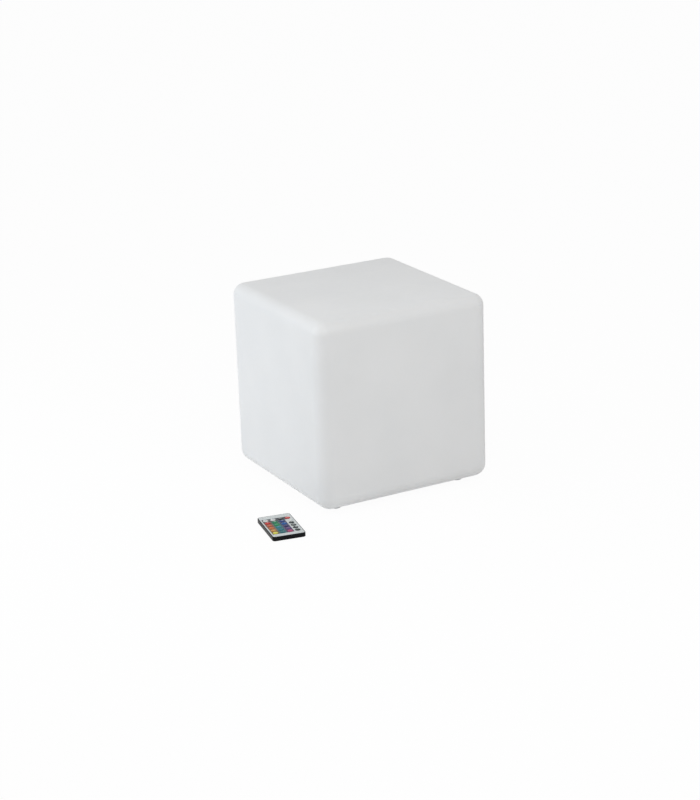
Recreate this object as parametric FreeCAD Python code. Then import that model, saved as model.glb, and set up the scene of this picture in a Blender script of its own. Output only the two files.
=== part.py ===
"""Cube light with its card handset. Millimetres, +Z up.

The origin is on the floor under the middle of the cube. The cube's front faces -Y.
The handset lies on the floor in front of the cube's left side.
"""
import FreeCAD, Part
import math
import os

V = FreeCAD.Vector
UP = V(0, 0, 1)

# ------------------------------------------------------------------ general fits
press_gap = 0.03            # between pieces that are pushed or moulded into each other
thread_gap = 0.05           # between a screw and its thread
slide_gap = 0.2             # between pieces that slide or swing
seat_gap = 0.1              # between pieces that are dropped into place
spring_gap = 0.05           # between a pressed key, or a sliding cell, and what it faces
join = 1.0                  # how far a piece reaches into the one it grows from, or a tool past a face

# ------------------------------------------------------------------ the cube
cube_edge = 300.0
edge_radius = 21.0
top_edge_radius = 18.0      # round the top face
wall = 3.5
foot_height = 8.0
foot_radius = 10.0
foot_inset = 40.0           # a foot's centre to the cube's side
foot_edge = 1.2
foot_spigot_radius = 5.0
foot_spigot_head = 1.2      # how far the spigot's head stands past its neck
foot_head_height = 3.0

# ------------------------------------------------------------------ light module
opening_gap = 3.0           # round the cup, in the cube's underside
flange_reach = 14.0         # the flange past that opening
flange_thickness = 4.0
flange_edge = 1.0
flange_drop = 5.2           # how far the flange stands below the cube's underside
flange_play = 2.0           # round the flange, in its recess
gasket_thickness = 1.5
gasket_margin = 0.5
insert_radius = 3.2
insert_length = 6.0
insert_cover = 1.5          # material over a blind hole
recess_rim = 6.0            # ring of material round the recess
base_screw_count = 6
base_screw_reach = 8.0      # a screw's centre past the opening
base_screw_radius = 2.0
base_head_radius = 3.6
base_head_height = 2.0
base_head_sink = 0.4        # below the flange's face
screw_tip_gap = 0.5         # the screw's tip to the insert's end
cup_wall = 2.5
cup_play = 1.25             # round what the cup holds
cup_height = 37.5
floor_thickness = 3.0
lid_post_radius = 4.0
lid_post_inset = 5.5        # a post's centre to the cup's wall
lid_screw_radius = 1.5
lid_screw_depth = 12.0
lid_head_radius = 2.75
lid_head_height = 2.0
lid_seal_thickness = 0.8
lid_thickness = 2.2
dome_flange = 2.0
dome_edge = 1.0             # the dome's flange inside the lid's edge
dome_gap = 1.25             # between the dome and the screws' heads
dome_wall = 2.0
dome_rise = 24.0
led_board_gap = 1.0
led_board_thickness = 1.6
led_board_hole = 1.6
led_size = 5.0
led_height = 1.6
led_window_share = 0.38     # the round window's radius over the lamp's side
led_window_depth = 0.4
outer_leds, inner_leds = 8, 4
outer_led_inset = 9.0       # the outer ring of lamps to the board's edge
inner_led_circle = 16.0
receiver_size = V(6.0, 4.5, 7.0)
receiver_y = 4.0

# ------------------------------------------------------------------ inside the cup
cell_radius = 9.15
cell_length = 65.0
cell_gap = 1.2
cell_end_gap = 2.0
cell_nub = V(3.0, 1.5, 0)   # radius and length of a cell's raised end
cell_row_y = 17.5           # middle between the two cells
holder_wall = 1.5
holder_rise = 10.5
board_size_x = 60.0
board_size_y = 38.0
board_gap = 2.9             # between the control board and the battery holder
board_rise = 17.5           # the flange's face to the control board's underside
board_thickness = 1.6
standoff_radius = 3.0
standoff_inset = V(5.0, 4.0, 0)
stake_radius = 1.2
stake_rise = 1.0
wire_radius = 0.8
wire_bend = 3.0
wire_pitch = 1.9
landing_inset = V(3.0, 9.0, 0)          # where a battery lead meets the board, from its corner
can_radius, can_height = 3.0, 9.0       # the two round capacitors
lead_hole_radius = 4.0
lead_inset = 13.0           # the lamps' lead from the board's middle
connector_height = 4.0

# ------------------------------------------------------------------ button and socket
button_x = -20.0
button_radius = 6.0
button_sink = 0.5           # the button's face above the flange's face
button_travel = 1.0
button_flange = 1.5         # past the button's side
button_flange_height = 1.0
button_stem_radius = 2.5
sleeve_wall = 2.0
sleeve_rise = 3.0           # past the button's flange when it is pressed
switch_size = 6.0
switch_height = 3.5
plunger_radius = 1.7
plunger_height = 1.5
port_x = 26.0
port_to_hinge = 14.0
port_hole_radius = 4.5
port_hole_depth = 3.6
pocket_depth = 2.5
pocket_gap = 0.6            # round the cover
pocket_margin = 2.0         # pad round the pocket
notch_radius = 5.0          # fingernail notch beside the cover
notch_depth = 1.8
cover_radius = 8.0
cover_thickness = 2.0
cover_sink = 0.3
cover_stem_radius = 3.6
cover_stem_tip = 3.0
cover_stem_length = 3.0
strap_width = 5.0
strap_thickness = 1.0
anchor_offset = 4.0         # the anchor's centre past the hinge
anchor_radius = 3.3
anchor_peg_radius = 2.0
socket_radius = 5.5
socket_bore_radius = 2.9
socket_bore_depth = 9.0
socket_pin_radius = 1.05
socket_pin_sink = 0.8       # the pin's tip inside the bore's mouth

# ------------------------------------------------------------------ handset
remote_out = 72.0           # the handset's middle past the cube's left side
remote_back = 4.0           # and behind the line of its front
remote_turn = -10.0         # degrees about +Z
case_height = 7.0
case_corner = 4.5
case_edge = 0.7
case_wall = 1.2
case_floor = 0.8
parting_level = 3.8
plate_thickness = 0.2
plate_lip = 1.1             # case rim that shows round the faceplate
top_skin = 0.85
key_columns = 4
key_rows = 6
key_web_x = 1.8             # mat left between the holes of two columns
key_web_y = 0.5             # and of two rows
far_margin = 13.3           # the first row's holes to the far end
near_margin = 10.4          # the last row's holes to the near end
side_margin = 3.7           # an outer column's holes to the case's side
key_radius = 4.2
key_rise = 1.1              # dome above the faceplate
key_dome = 0.8
key_travel = 0.5
key_flange = 0.5
key_flange_height = 0.5
mat_margin = 1.8
remote_board_thickness = 0.8
remote_board_level = 4.0
board_play = 0.4
coin_radius = 10.0
coin_thickness = 2.5
coin_inset = 13.5           # the coin's centre to the near end
tray_width = 25.0
tray_length = 26.0
tray_floor_gap = 0.1
tray_ledge = 0.3
tray_ledge_reach = 1.2
rail_width = 1.0
rail_short = 2.0            # the rails end before the tray does
post_radius = 1.3
post_inset = 3.0            # a post's centre to the case's inside
post_rows = (-30.0, 0.0, 30.0)
contact_width = 3.0
contact_thickness = 0.15
contact_x = 5.0
contact_reach = V(-4.0, 3.0, 0)         # a contact's two ends along the cell, from its middle
grip_pitch = 2.0
grip_count = 7
grip_depth = 0.35
grip_width = 0.8
emitter_radius = 1.5
emitter_rim = 0.25
emitter_rim_length = 0.8
leg_x = 0.9
leg_side = 0.5
leg_reach = 1.6
emitter_level = 2.6
emitter_length = 4.0
emitter_proud = 0.7
chip_size = V(9.0, 5.0, 1.1)
chip_y = 8.0
chip_leg = V(0.5, 0.7, 0.3)
chip_leg_pitch = 1.7


# ------------------------------------------------------------------ sizes that follow
half = cube_edge / 2
cube_bottom = foot_height
inner_bottom = cube_bottom + wall
cell_pitch = 2 * cell_radius + cell_gap
holder_half_x = cell_length / 2 + holder_wall + cell_end_gap
holder_half_y = cell_pitch / 2 + cell_radius + slide_gap + holder_wall
board_centre_y = cell_row_y - holder_half_y - board_gap - board_size_y / 2
button_y = board_centre_y
port_y = board_centre_y
cup_inner = cup_play + max(math.hypot(holder_half_x, cell_row_y + holder_half_y),
                           math.hypot(board_size_x / 2, board_centre_y - board_size_y / 2))
cup_radius = cup_inner + cup_wall
opening_radius = cup_radius + opening_gap
flange_radius = opening_radius + flange_reach
recess_radius = flange_radius + flange_play
base_screw_circle = opening_radius + base_screw_reach
lid_post_circle = cup_inner - lid_post_inset
dome_radius = lid_post_circle - lid_head_radius - dome_gap
led_board_radius = dome_radius - dome_wall - led_board_gap

key_hole_radius = key_radius + key_flange + slide_gap
key_pitch_x = 2 * key_hole_radius + key_web_x
key_pitch_y = 2 * key_hole_radius + key_web_y
key_block_x = (key_columns - 1) * key_pitch_x
key_block_y = (key_rows - 1) * key_pitch_y
remote_x = -half - remote_out
remote_y = -half + remote_back
far_inset = key_hole_radius + far_margin            # a row's or a column's middle to the case's outside
near_inset = key_hole_radius + near_margin
side_inset = key_hole_radius + side_margin
case_width = key_block_x + 2 * side_inset
case_length = key_block_y + far_inset + near_inset

module_face = cube_bottom - flange_drop
flange_top = module_face + flange_thickness
recess_top = flange_top + gasket_thickness
ring_top = recess_top + insert_length + insert_cover
cup_floor = module_face + floor_thickness
cup_top = module_face + cup_height
lid_bottom = cup_top + lid_seal_thickness
lid_top = lid_bottom + lid_thickness
board_level = module_face + board_rise
board_top = board_level + board_thickness
pocket_top = module_face + pocket_depth
port_mouth = pocket_top + port_hole_depth
hinge_x = port_x - port_to_hinge
strap_level = module_face + cover_sink + cover_thickness / 2


# ------------------------------------------------------------------ helpers
def box(x0, y0, z0, x1, y1, z1):
    return Part.makeBox(x1 - x0, y1 - y0, z1 - z0, V(x0, y0, z0))


def rod(x, y, z0, z1, radius):
    return Part.makeCylinder(radius, z1 - z0, V(x, y, z0), UP)


def ring(z0, z1, outer, inner, x=0.0, y=0.0):
    return rod(x, y, z0, z1, outer).cut(rod(x, y, z0, z1, inner))


def turned(points):
    """A solid turned about the Z axis from an outline of (radius, height) points."""
    wire = Part.makePolygon([V(r, 0, z) for r, z in points] + [V(points[0][0], 0, points[0][1])])
    return Part.Face(wire).revolve(V(0, 0, 0), UP, 360)


def rounded_cube(edge, radius, top_radius, bottom):
    top = bottom + edge
    solid = box(-edge / 2, -edge / 2, bottom, edge / 2, edge / 2, top)
    solid = solid.makeFillet(radius, [e for e in solid.Edges if e.BoundBox.ZMin < top - join])
    return solid.makeFillet(top_radius, outline_edges(solid, top))


def slab(width, length, z0, z1, corner):
    """A flat block about the Z axis with round corners."""
    solid = box(-width / 2, -length / 2, z0, width / 2, length / 2, z1)
    upright = [e for e in solid.Edges if abs(e.tangentAt(e.FirstParameter).z) > 0.99]
    return solid.makeFillet(corner, upright)


def outline_edges(solid, z):
    return [e for e in solid.Edges if e.BoundBox.ZLength < 1e-6 and abs(e.BoundBox.ZMin - z) < 1e-6]


def slot_shape(x0, x1, y, z0, z1, r0, r1):
    """A rod at each end of a line along X, joined by a bar as wide as the first rod."""
    bar = box(x0, y - r0, z0, x1, y + r0, z1)
    return rod(x0, y, z0, z1, r0).fuse(bar).fuse(rod(x1, y, z0, z1, r1)).removeSplitter()


def on_circle(count, radius, start=0.0):
    angles = [math.radians(start + 360.0 * i / count) for i in range(count)]
    return [(radius * math.cos(a), radius * math.sin(a)) for a in angles]


def fused(solids):
    result = solids[0]
    for solid in solids[1:]:
        result = result.fuse(solid)
    return result.removeSplitter()


def cut_all(solid, tools):
    for tool in tools:
        solid = solid.cut(tool)
    return solid


def wire_tube(points, radius, bend):
    """A round wire along straight runs, with an arc of one bend radius at each corner."""
    edges, start = [], points[0]
    for before, corner, after in zip(points, points[1:], points[2:]):
        back = (before - corner).normalize()
        ahead = (after - corner).normalize()
        half_turn = back.getAngle(ahead) / 2
        reach = bend / math.tan(half_turn)
        middle = (back + ahead).normalize() * (bend / math.sin(half_turn) - bend)
        first, last = corner + back * reach, corner + ahead * reach
        edges.append(Part.LineSegment(start, first).toShape())
        edges.append(Part.Arc(first, corner + middle, last).toShape())
        start = last
    edges.append(Part.LineSegment(start, points[-1]).toShape())
    circle = Part.Circle(points[0], points[1] - points[0], radius).toShape()
    return Part.Wire(edges).makePipeShell([Part.Wire([circle])], True, True)


def cross_slot(x, y, z, size, depth):
    """The cross in a screw's head, cut upwards from z."""
    arm = size / 5
    return fused([box(x - size / 2, y - arm / 2, z, x + size / 2, y + arm / 2, z + depth),
                  box(x - arm / 2, y - size / 2, z, x + arm / 2, y + size / 2, z + depth)])


parts = {}


# ------------------------------------------------------------------ cube shell and feet
foot_reach = half - foot_inset
foot_places = {"front_left": (-foot_reach, -foot_reach), "front_right": (foot_reach, -foot_reach),
               "back_left": (-foot_reach, foot_reach), "back_right": (foot_reach, foot_reach)}
base_screw_places = on_circle(base_screw_count, base_screw_circle, 30)


def cube_shell():
    outside = rounded_cube(cube_edge, edge_radius, top_edge_radius, cube_bottom)
    chamber = rounded_cube(cube_edge - 2 * wall, edge_radius - wall, top_edge_radius - wall, inner_bottom)
    ring_block = rod(0, 0, cube_bottom, ring_top, recess_radius + recess_rim)
    shell = outside.cut(chamber).fuse(ring_block).removeSplitter()
    tools = [rod(0, 0, cube_bottom - join, ring_top + join, opening_radius),
             rod(0, 0, cube_bottom - join, recess_top, recess_radius)]
    tools += [rod(x, y, recess_top - join, recess_top + insert_length, insert_radius)
              for x, y in base_screw_places]
    tools += [rod(x, y, cube_bottom - join, inner_bottom + join, foot_spigot_radius + press_gap)
              for x, y in foot_places.values()]
    return cut_all(shell, tools)


def foot():
    neck_top = inner_bottom + seat_gap
    head = foot_spigot_radius + foot_spigot_head
    tip = foot_spigot_radius - foot_spigot_head
    return turned([(0, 0), (foot_radius - foot_edge, 0), (foot_radius, foot_edge),
                   (foot_radius, foot_height), (foot_spigot_radius, foot_height),
                   (foot_spigot_radius, neck_top), (head, neck_top),
                   (tip, neck_top + foot_head_height), (0, neck_top + foot_head_height)])


parts["cube_shell"] = cube_shell()
for place, (x, y) in foot_places.items():
    parts["foot_" + place] = foot().translated(V(x, y, 0))


# ------------------------------------------------------------------ module base
lid_post_places = on_circle(4, lid_post_circle)
standoff_places = [(sx * (board_size_x / 2 - standoff_inset.x),
                    board_centre_y + sy * (board_size_y / 2 - standoff_inset.y))
                   for sx in (-1, 1) for sy in (-1, 1)]
pocket_radius = cover_radius + pocket_gap
channel_half = anchor_radius + slide_gap
anchor_x = hinge_x - anchor_offset


def port_pocket():
    """The pocket that the socket's cover and its strap lie in, with a notch for a fingernail."""
    pocket = slot_shape(anchor_x, port_x, port_y, module_face - join, pocket_top, channel_half, pocket_radius)
    notch = Part.makeSphere(notch_radius, V(port_x + pocket_radius, port_y,
                                            module_face + notch_depth - notch_radius))
    return pocket.fuse(notch)


def module_base():
    flange = rod(0, 0, module_face, flange_top, flange_radius)
    flange = flange.makeFillet(flange_edge, outline_edges(flange, module_face))
    cup = rod(0, 0, flange_top, cup_top, cup_radius)
    hollow = rod(0, 0, cup_floor, cup_top + join, cup_inner)
    body = flange.fuse(cup).cut(hollow)
    posts = [rod(x, y, module_face + join, cup_top, lid_post_radius) for x, y in lid_post_places]
    posts += [rod(x, y, module_face + join, board_level, standoff_radius) for x, y in standoff_places]
    posts += [rod(x, y, board_level, board_top + stake_rise, stake_radius) for x, y in standoff_places]
    pad = slot_shape(anchor_x, port_x, port_y, module_face + join, port_mouth,
                     channel_half + pocket_margin, pocket_radius + pocket_margin)
    sleeve_top = cup_floor + button_flange_height + button_travel + sleeve_rise
    sleeve_inner = button_radius + button_flange + slide_gap
    sleeve = ring(module_face + join, sleeve_top, sleeve_inner + sleeve_wall, sleeve_inner,
                  button_x, button_y)
    body = fused([body] + posts + [pad, sleeve])
    tools = [port_pocket(), rod(port_x, port_y, module_face, port_mouth + join, port_hole_radius),
             rod(anchor_x, port_y, module_face, port_mouth + join, anchor_peg_radius + press_gap),
             rod(button_x, button_y, module_face - join, cup_floor + join, button_radius + slide_gap)]
    for x, y in base_screw_places:
        tools.append(rod(x, y, module_face - join, module_face + base_head_sink + base_head_height,
                         base_head_radius + slide_gap))
        tools.append(rod(x, y, module_face, flange_top + join, base_screw_radius + slide_gap))
    tools += [rod(x, y, cup_top - lid_screw_depth, cup_top + join, lid_screw_radius + thread_gap)
              for x, y in lid_post_places]
    return cut_all(body, tools)


def shell_gasket():
    sheet = ring(flange_top, recess_top, flange_radius - gasket_margin, opening_radius + gasket_margin)
    return cut_all(sheet, [rod(x, y, flange_top - join, recess_top + join, base_screw_radius + 2 * slide_gap)
                           for x, y in base_screw_places])


def base_screws():
    head_bottom = module_face + base_head_sink
    head_top = head_bottom + base_head_height
    screws = []
    for x, y in base_screw_places:
        head = rod(x, y, head_bottom, head_top, base_head_radius)
        head = head.makeFillet(base_head_height * 0.35, outline_edges(head, head_bottom))
        shank = rod(x, y, head_top, recess_top + insert_length - screw_tip_gap, base_screw_radius)
        drive = cross_slot(x, y, head_bottom - 0.5, base_head_radius, base_head_height * 0.85)
        screws.append(head.fuse(shank).removeSplitter().cut(drive))
    return Part.makeCompound(screws)


def shell_inserts():
    return Part.makeCompound([ring(recess_top, recess_top + insert_length, insert_radius - press_gap,
                                   base_screw_radius + thread_gap, x, y) for x, y in base_screw_places])


parts["module_base"] = module_base()
parts["shell_gasket"] = shell_gasket()
parts["base_screws"] = base_screws()
parts["shell_inserts"] = shell_inserts()


# ------------------------------------------------------------------ lid, dome and lamps
lead_x, lead_y = 0.0, board_centre_y + lead_inset


def lid_seal():
    band = ring(cup_top, lid_bottom, cup_radius - seat_gap, cup_inner + seat_gap)
    lugs = [rod(x, y, cup_top, lid_bottom, lid_post_radius) for x, y in lid_post_places]
    holes = [rod(x, y, cup_top - join, lid_bottom + join, lid_screw_radius + slide_gap)
             for x, y in lid_post_places]
    inside = rod(0, 0, cup_top, lid_bottom, cup_radius - seat_gap)
    return cut_all(fused([band] + [lug.common(inside) for lug in lugs]), holes)


def module_lid():
    disc = rod(0, 0, lid_bottom, lid_top, cup_radius)
    holes = [rod(x, y, lid_bottom - join, lid_top + join, lid_screw_radius + slide_gap)
             for x, y in lid_post_places]
    return cut_all(disc, holes + [rod(lead_x, lead_y, lid_bottom - join, lid_top + join, lead_hole_radius)])


def cap(base_radius, rise, base):
    """The part of a ball that stands on a circle."""
    ball_radius = (base_radius ** 2 + rise ** 2) / (2 * rise)
    ball = Part.makeSphere(ball_radius, V(0, 0, base + rise - ball_radius))
    return ball.common(rod(0, 0, base, base + rise + join, ball_radius + join))


def diffuser_dome():
    shoulder = lid_top + dome_flange
    flange = rod(0, 0, lid_top, shoulder, cup_radius - dome_edge)
    outside = cap(dome_radius, dome_rise - dome_flange, shoulder)
    inner_radius = dome_radius - dome_wall
    inside = rod(0, 0, lid_top - join, shoulder, inner_radius).fuse(
        cap(inner_radius, dome_rise - dome_flange - dome_wall, shoulder))
    holes = [rod(x, y, lid_top - join, lid_top + dome_flange + join, lid_screw_radius + slide_gap)
             for x, y in lid_post_places]
    return cut_all(flange.fuse(outside).removeSplitter(), [inside] + holes)


def lid_screws():
    seat = lid_top + dome_flange
    screws = []
    for x, y in lid_post_places:
        head = rod(x, y, seat, seat + lid_head_height, lid_head_radius)
        head = head.makeFillet(lid_head_height * 0.4, outline_edges(head, seat + lid_head_height))
        shank = rod(x, y, cup_top - lid_screw_depth + 1, seat, lid_screw_radius)
        drive = cross_slot(x, y, seat + lid_head_height * 0.4, lid_head_radius, lid_head_height)
        screws.append(head.fuse(shank).removeSplitter().cut(drive))
    return Part.makeCompound(screws)


def led_board():
    return ring(lid_top, lid_top + led_board_thickness, led_board_radius, led_board_hole)


def led_chips():
    z0 = lid_top + led_board_thickness
    chips = []
    for count, radius in ((outer_leds, led_board_radius - outer_led_inset), (inner_leds, inner_led_circle)):
        for x, y in on_circle(count, radius, 22.5):
            side = led_size / 2
            body = box(x - side, y - side, z0, x + side, y + side, z0 + led_height)
            window = rod(x, y, z0 + led_height - led_window_depth, z0 + led_height + 1,
                         led_size * led_window_share)
            chips.append(body.cut(window))
    return Part.makeCompound(chips)


def ir_receiver():
    z0 = lid_top + led_board_thickness
    size = receiver_size
    body = box(-size.x / 2, receiver_y, z0, size.x / 2, receiver_y + size.y, z0 + size.z)
    lens = Part.makeSphere(size.x * 0.4, V(0, receiver_y, z0 + size.z / 2))
    return body.fuse(lens).removeSplitter()


parts["lid_seal"] = lid_seal()
parts["module_lid"] = module_lid()
parts["diffuser_dome"] = diffuser_dome()
parts["lid_screws"] = lid_screws()
parts["led_board"] = led_board()
parts["led_chips"] = led_chips()
parts["ir_receiver"] = ir_receiver()


# ------------------------------------------------------------------ battery and boards
cell_level = cup_floor + holder_wall + cell_radius + slide_gap
cell_rows = (cell_row_y - cell_pitch / 2, cell_row_y + cell_pitch / 2)


def battery_holder():
    block = box(-holder_half_x, cell_row_y - holder_half_y, cup_floor,
                holder_half_x, cell_row_y + holder_half_y, cup_floor + holder_rise)
    trough = cell_radius + slide_gap
    inner = holder_half_x - holder_wall
    troughs = [Part.makeCylinder(trough, 2 * inner, V(-inner, y, cell_level), V(1, 0, 0)) for y in cell_rows]
    troughs += [box(-inner, y - trough, cell_level, inner, y + trough, cell_level + trough)
                for y in cell_rows]
    return cut_all(block, troughs)


def battery_cells():
    cells = []
    for y in cell_rows:
        can = Part.makeCylinder(cell_radius, cell_length, V(-cell_length / 2, y, cell_level), V(1, 0, 0))
        can = can.makeFillet(1.0, [e for e in can.Edges if e.BoundBox.XLength < 1e-6])
        nub = Part.makeCylinder(cell_nub.x, cell_nub.y, V(cell_length / 2, y, cell_level), V(1, 0, 0))
        cells.append(can.fuse(nub).removeSplitter())
    return Part.makeCompound(cells)


def control_board():
    board = slab(board_size_x, board_size_y, board_level, board_top, 2.0).translated(V(0, board_centre_y, 0))
    return cut_all(board, [rod(x, y, board_level - join, board_top + join, stake_radius + seat_gap)
                           for x, y in standoff_places])


def board_components():
    """Chips, coil, capacitors and the lamps' connector, each a piece soldered to the board's top."""
    blocks = [(-16, 3, 9, 6, 1.6), (4, -9, 7, 7, 4.5), (15, 3, 5, 4, 1.4), (-4, 1, 3.2, 1.6, 0.8),
              (22, -1, 3, 6, 2.2), (-4, -3, 3.2, 1.6, 0.8), (10, 9, 2, 1.2, 0.8),
              (lead_x, lead_inset, 10, 4.5, connector_height)]
    solids = [box(x - sx / 2, board_centre_y + y - sy / 2, board_top,
                  x + sx / 2, board_centre_y + y + sy / 2, board_top + height)
              for x, y, sx, sy, height in blocks]
    for x in (-16, -8):
        can = rod(x, board_centre_y - 11, board_top, board_top + can_height, can_radius)
        solids.append(can.makeFillet(0.6, outline_edges(can, board_top + can_height)))
    return Part.makeCompound(solids)


def wiring():
    leads = [rod(lead_x + (i - 1.5) * wire_pitch, lead_y, board_top + connector_height, lid_top, wire_radius)
             for i in range(4)]
    clear_x = holder_half_x + wire_bend + wire_radius
    landing_x = board_size_x / 2 - landing_inset.x
    landing_y = board_centre_y + board_size_y / 2 - landing_inset.y
    low, high = cup_floor + holder_rise / 2, board_top + 2 * wire_bend
    for side in (-1, 1):
        points = [V(side * holder_half_x, cell_rows[0], low), V(side * clear_x, cell_rows[0], low),
                  V(side * clear_x, cell_rows[0], high), V(side * clear_x, landing_y, high),
                  V(side * landing_x, landing_y, high), V(side * landing_x, landing_y, board_top)]
        leads.append(wire_tube(points, wire_radius, wire_bend))
    return Part.makeCompound(leads)


parts["battery_holder"] = battery_holder()
parts["battery_cells"] = battery_cells()
parts["control_board"] = control_board()
parts["board_components"] = board_components()
parts["wiring"] = wiring()


# ------------------------------------------------------------------ button, switch and socket
def button_switch():
    z0 = board_level - switch_height
    body = box(button_x - switch_size / 2, button_y - switch_size / 2, z0,
               button_x + switch_size / 2, button_y + switch_size / 2, board_level)
    return body.fuse(rod(button_x, button_y, z0 - plunger_height, z0, plunger_radius))


def power_button():
    face = module_face + button_sink
    flange_bottom = cup_floor + seat_gap
    flange_high = flange_bottom + button_flange_height
    stem_top = board_level - switch_height - plunger_height - button_travel - seat_gap
    cap_solid = rod(0, 0, face, flange_bottom, button_radius)
    cap_solid = cap_solid.makeFillet(0.8, outline_edges(cap_solid, face))
    flange = rod(0, 0, flange_bottom, flange_high, button_radius + button_flange)
    stem = rod(0, 0, flange_high, stem_top, button_stem_radius)
    mark = ring(face - 0.5, face + 0.3, button_radius * 0.45, button_radius * 0.32)
    return fused([cap_solid, flange, stem]).cut(mark).translated(V(button_x, button_y, 0))


def charge_socket():
    body = rod(0, 0, port_mouth, board_level, socket_radius)
    bore_top = port_mouth + socket_bore_depth
    bore = rod(0, 0, port_mouth - join, bore_top, socket_bore_radius)
    pin = rod(0, 0, port_mouth + socket_pin_sink, bore_top + 0.5, socket_pin_radius)
    return body.cut(bore).fuse(pin).translated(V(port_x, port_y, 0))


def port_cover():
    bottom = module_face + cover_sink
    top = bottom + cover_thickness
    disc = rod(port_x, port_y, bottom, top, cover_radius)
    disc = disc.makeFillet(0.5, outline_edges(disc, bottom))
    stem = Part.makeCone(cover_stem_radius, cover_stem_tip, cover_stem_length, V(port_x, port_y, top), UP)
    half_strap = strap_thickness / 2
    strap = box(hinge_x, port_y - strap_width / 2, strap_level - half_strap,
                port_x, port_y + strap_width / 2, strap_level + half_strap)
    knuckle = Part.makeCylinder(half_strap, strap_width, V(hinge_x, port_y - strap_width / 2, strap_level),
                                V(0, 1, 0))
    return fused([disc, stem, strap, knuckle])


def port_cover_anchor():
    half_strap = strap_thickness / 2
    tab = rod(anchor_x, port_y, strap_level - half_strap, pocket_top, anchor_radius)
    limit = box(anchor_x - 20, port_y - 20, module_face,
                hinge_x - half_strap - slide_gap / 2, port_y + 20, port_mouth)
    peg = rod(anchor_x, port_y, pocket_top, port_mouth - 0.4, anchor_peg_radius)
    return tab.common(limit).fuse(peg).removeSplitter()


parts["button_switch"] = button_switch()
parts["power_button"] = power_button()
parts["charge_socket"] = charge_socket()
parts["port_cover"] = port_cover()
parts["port_cover_anchor"] = port_cover_anchor()


# ------------------------------------------------------------------ handset, built about its own middle
inner_width = case_width - 2 * case_wall
inner_length = case_length - 2 * case_wall
inner_corner = case_corner - case_wall
near_end = -case_length / 2
far_end = case_length / 2
skin_top = case_height - plate_thickness
skin_bottom = skin_top - top_skin
remote_board_top = remote_board_level + remote_board_thickness
key_bottom = remote_board_top + key_travel + spring_gap
key_flange_top = key_bottom + key_flange_height
tray_bottom = case_floor + tray_floor_gap
tray_top = parting_level - tray_floor_gap
coin_y = near_end + coin_inset
coin_bottom = tray_bottom + tray_ledge
coin_top = coin_bottom + coin_thickness
key_places = {(row + 1, column + 1): (column * key_pitch_x - key_block_x / 2,
                                      far_end - far_inset - row * key_pitch_y)
              for row in range(key_rows) for column in range(key_columns)}
post_places = [(sx * (inner_width / 2 - post_inset), y) for sx in (-1, 1) for y in post_rows]
emitter_back = far_end + emitter_proud - emitter_radius - emitter_length
slot_half = tray_width / 2 + slide_gap


def emitter_hole():
    return Part.makeCylinder(emitter_radius + slide_gap / 2, case_wall + 2,
                             V(0, far_end - case_wall - 1, emitter_level), V(0, 1, 0))


def remote_case_bottom():
    outside = slab(case_width, case_length, 0, parting_level, case_corner)
    outside = outside.makeFillet(case_edge, outline_edges(outside, 0))
    hollow = slab(inner_width, inner_length, case_floor, parting_level + join, inner_corner)
    shell = outside.cut(hollow)
    rail_end = near_end + tray_length - rail_short
    rails = [box(x, near_end + join, case_floor - slide_gap, x + rail_width, rail_end, tray_top)
             for x in (-slot_half - rail_width, slot_half)]
    posts = [rod(x, y, case_floor - slide_gap, remote_board_level, post_radius) for x, y in post_places]
    slot = box(-slot_half, near_end - join, case_floor,
               slot_half, near_end + case_wall + slide_gap, parting_level + join)
    return cut_all(fused([shell] + rails + posts), [slot, emitter_hole()])


def remote_case_top():
    outside = slab(case_width, case_length, parting_level, case_height, case_corner)
    outside = outside.makeFillet(case_edge, outline_edges(outside, case_height))
    hollow = slab(inner_width, inner_length, parting_level - join, skin_bottom, inner_corner)
    recess = slab(case_width - 2 * plate_lip, case_length - 2 * plate_lip, skin_top, case_height + join,
                  case_corner - plate_lip)
    holes = [rod(x, y, skin_bottom - join, skin_top + join, key_radius + slide_gap)
             for x, y in key_places.values()]
    return cut_all(outside, [hollow, recess] + holes + [emitter_hole()])


def remote_faceplate():
    gap = seat_gap / 2
    plate = slab(case_width - 2 * plate_lip - 2 * gap, case_length - 2 * plate_lip - 2 * gap,
                 skin_top, case_height, case_corner - plate_lip - gap)
    return cut_all(plate, [rod(x, y, skin_top - join, case_height + join, key_radius + slide_gap)
                           for x, y in key_places.values()])


def keypad_web():
    middle_y = far_end - far_inset - key_block_y / 2
    reach = 2 * (key_hole_radius + mat_margin)
    mat = slab(key_block_x + reach, key_block_y + reach, remote_board_top, skin_bottom, mat_margin)
    return cut_all(mat.translated(V(0, middle_y, 0)),
                   [rod(x, y, remote_board_top - join, skin_bottom + join, key_hole_radius)
                    for x, y in key_places.values()])


def key(x, y):
    flange = rod(x, y, key_bottom, key_flange_top, key_radius + key_flange)
    top = case_height + key_rise
    stalk = rod(x, y, key_flange_top, top, key_radius)
    ball_radius = (key_radius ** 2 + key_dome ** 2) / (2 * key_dome)
    ball = Part.makeSphere(ball_radius, V(x, y, top - ball_radius))
    return flange.fuse(stalk.common(ball)).removeSplitter()


def remote_board():
    board = slab(inner_width - 2 * board_play, inner_length - 2 * board_play, remote_board_level,
                 remote_board_top, inner_corner - board_play)
    notch_half = emitter_radius + emitter_rim + slide_gap
    return board.cut(box(-notch_half, emitter_back - slide_gap, 0, notch_half, far_end, case_height))


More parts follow.
